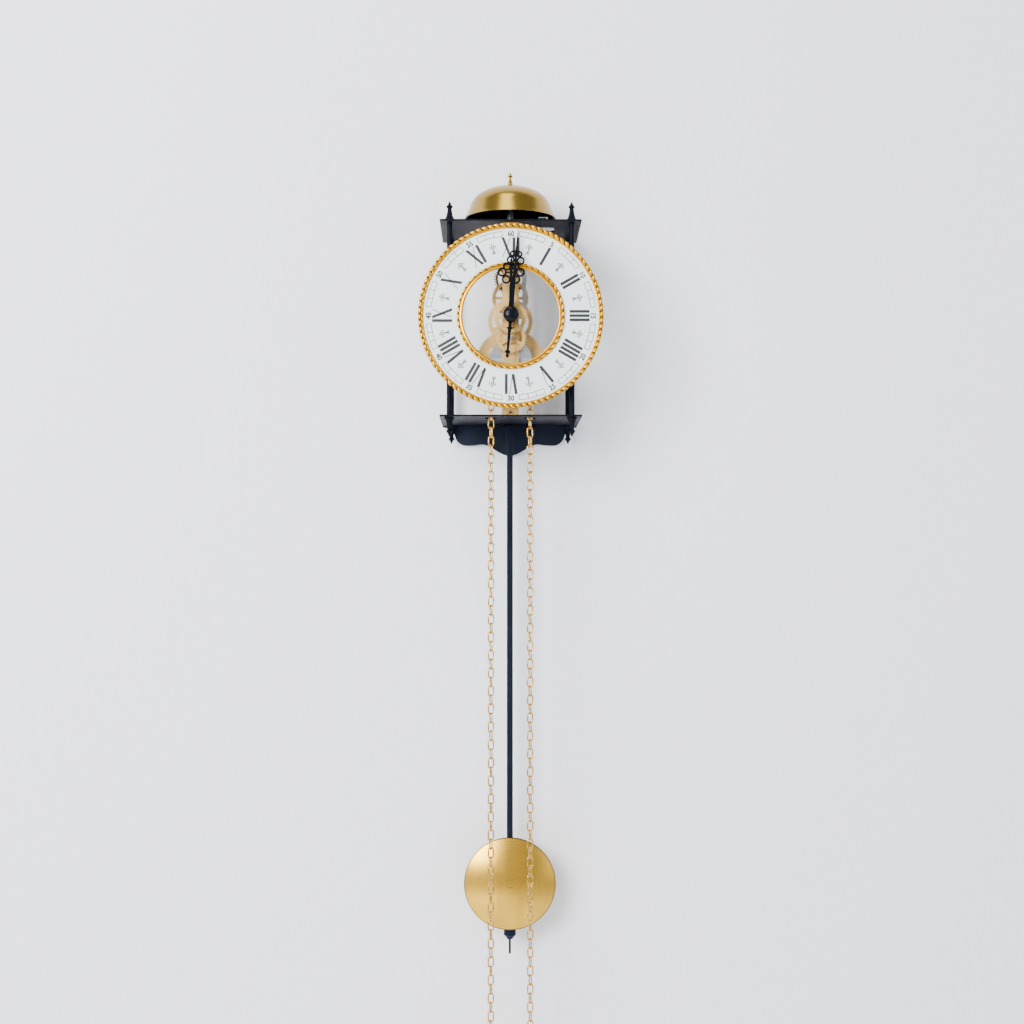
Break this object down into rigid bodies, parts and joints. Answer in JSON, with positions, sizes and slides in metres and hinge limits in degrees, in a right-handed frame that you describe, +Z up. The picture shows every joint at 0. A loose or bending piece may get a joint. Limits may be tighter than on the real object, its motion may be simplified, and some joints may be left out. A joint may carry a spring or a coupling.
{
  "type": "skeleton wall clock",
  "caption": "Skeleton wall clock: black two-plate frame, open white Roman dial with gilt rope rings, visible train, bell on top, long pendulum and chain-driven weight.",
  "frame": {"origin": "centre of the hanging hole, at the back face of the hanger bracket, 4 mm in front of the wall", "axes": "+Z up, +X to the right seen from the front, the front faces -Y"},
  "size_m": [0.157, 0.1228, 0.8954],
  "materials": {
    "black_paint": "satin black enamel",
    "textured_black": "fine textured black enamel",
    "rubber_pad": "matte",
    "bell_brass": "satin spun brass",
    "steel": "satin",
    "polished_steel": "polished",
    "dial_white": "satin white enamel",
    "gilt": "bright gilt",
    "train_brass": "satin pale brass",
    "escape_bronze": "dark bronze",
    "hand_black": "gloss black",
    "rod_black": "satin black",
    "bob_brass": "satin spun brass, lacquered",
    "chain_brass": "bright pale brass",
    "weight_brass": "polished brass"
  },
  "bodies": {
    "frame": {"top_plate": "black_paint", "bottom_plate": "black_paint", "back_apron": "textured_black", "hanger_bracket": "black_paint", "wall_spacers": "rubber_pad", "pillars": "black_paint", "top_finials": "black_paint", "bottom_finials": "black_paint", "bell_post": "steel", "bell": "bell_brass", "bell_finial": "bell_brass", "dial": "dial_white", "dial_bezel": "gilt", "inner_ring": "gilt", "dial_feet": "black_paint", "front_movement_plate": "train_brass", "rear_movement_plate": "train_brass", "movement_pillars": "train_brass", "movement_screws": "steel", "movement_studs": "steel", "suspension_cock": "train_brass", "chain_guard": "steel", "chain_wrap": "chain_brass"},
    "centre_arbor": {"centre_arbor": "steel", "centre_wheel": "train_brass", "strike_cam": "train_brass", "cannon_pinion": "train_brass", "minute_hand": "hand_black", "hand_button": "hand_black"},
    "great_arbor": {"great_wheel": "train_brass", "great_arbor": "steel"},
    "sprocket": {"chain_sprocket": "polished_steel", "ratchet_wheel": "polished_steel"},
    "click": {"click": "steel"},
    "third_arbor": {"third_arbor": "steel", "third_wheel": "train_brass"},
    "escape_arbor": {"escape_arbor": "steel", "escape_wheel": "escape_bronze"},
    "minute_wheel": {"minute_wheel": "train_brass", "minute_pinion": "train_brass"},
    "hour_wheel": {"hour_wheel": "train_brass", "hour_hand": "hand_black"},
    "anchor": {"anchor": "steel", "anchor_arbor": "steel", "crutch": "steel"},
    "pendulum": {"suspension_spring": "steel", "pendulum_leader": "rod_black", "pendulum_hook": "rod_black", "pendulum_rod": "rod_black", "rating_screw": "rod_black"},
    "bob": {"pendulum_bob": "bob_brass", "bob_guide": "rod_black"},
    "rating_nut": {"rating_nut": "rod_black"},
    "hammer": {"hammer_lever": "steel", "hammer_head": "polished_steel"},
    "weight": {"weight_shell": "weight_brass", "weight_hook": "chain_brass", "chain_left": "chain_brass"},
    "pull_ring": {"chain_ring": "chain_brass", "chain_right": "chain_brass"}
  },
  "joints": [
    {"name": "minute_turn", "type": "hinge", "parent": "frame", "child": "centre_arbor", "pos_m": [0, -0.06, -0.096], "axis": [0, 1, 0], "continuous": true},
    {"name": "great_turn", "type": "hinge", "parent": "frame", "child": "great_arbor", "pos_m": [0, -0.06, -0.1315], "axis": [0, 1, 0], "continuous": true},
    {"name": "third_turn", "type": "hinge", "parent": "frame", "child": "third_arbor", "pos_m": [0, -0.06, -0.074], "axis": [0, 1, 0], "continuous": true},
    {"name": "escape_turn", "type": "hinge", "parent": "frame", "child": "escape_arbor", "pos_m": [0, -0.06, -0.056], "axis": [0, 1, 0], "continuous": true},
    {"name": "minute_wheel_turn", "type": "hinge", "parent": "frame", "child": "minute_wheel", "pos_m": [0, -0.0945, -0.1136], "axis": [0, 1, 0], "continuous": true},
    {"name": "hour_turn", "type": "hinge", "parent": "frame", "child": "hour_wheel", "pos_m": [0, -0.098, -0.096], "axis": [0, 1, 0], "continuous": true},
    {"name": "weight_lift", "type": "slide", "parent": "frame", "child": "weight", "axis": [0, 0, 1], "range_m": [0, 0.10671], "deforming": ["chain_left", "chain_wrap"]},
    {"name": "ring_pull", "type": "slide", "parent": "frame", "child": "pull_ring", "axis": [0, 0, 1], "range_m": [-0.10671, 0], "deforming": ["chain_right"]},
    {"name": "sprocket_wind", "type": "hinge", "parent": "great_arbor", "child": "sprocket", "pos_m": [0, -0.08, -0.1315], "axis": [0, 1, 0], "range_deg": [-0.5, 366.3]},
    {"name": "click_lift", "type": "hinge", "parent": "great_arbor", "child": "click", "pos_m": [0.0124, -0.0716, -0.1181], "axis": [0, 1, 0], "range_deg": [0, 10]},
    {"name": "pendulum_swing", "type": "hinge", "parent": "frame", "child": "pendulum", "pos_m": [0, -0.0215, -0.036], "axis": [0, 1, 0], "range_deg": [-3.5, 3.5], "deforming": ["suspension_spring"]},
    {"name": "anchor_rock", "type": "hinge", "parent": "frame", "child": "anchor", "pos_m": [0, -0.06, -0.036], "axis": [0, 1, 0], "range_deg": [-3.6, 3.6]},
    {"name": "bob_height", "type": "slide", "parent": "pendulum", "child": "bob", "axis": [0, 0, 1], "range_m": [-0.003, 0.003]},
    {"name": "nut_turn", "type": "hinge", "parent": "bob", "child": "rating_nut", "pos_m": [0, -0.0215, -0.631], "axis": [0, 0, 1], "range_deg": [-2200, 2200]},
    {"name": "hammer_swing", "type": "hinge", "parent": "frame", "child": "hammer", "pos_m": [0.012, -0.0787, -0.091], "axis": [0, 1, 0], "range_deg": [-8, 1.4]}
  ],
  "couplings": [
    {"joint": "great_turn", "follows": "minute_turn", "ratio": -0.19048},
    {"joint": "third_turn", "follows": "minute_turn", "ratio": -7.5},
    {"joint": "escape_turn", "follows": "minute_turn", "ratio": 60},
    {"joint": "minute_wheel_turn", "follows": "minute_turn", "ratio": -0.33333},
    {"joint": "hour_turn", "follows": "minute_turn", "ratio": 0.083333},
    {"joint": "ring_pull", "follows": "weight_lift", "ratio": -1},
    {"joint": "sprocket_wind", "follows": "weight_lift", "rad_per_m": 59.828},
    {"joint": "anchor_rock", "follows": "pendulum_swing", "ratio": 1},
    {"joint": "nut_turn", "follows": "bob_height", "rad_per_m": 12566}
  ]
}
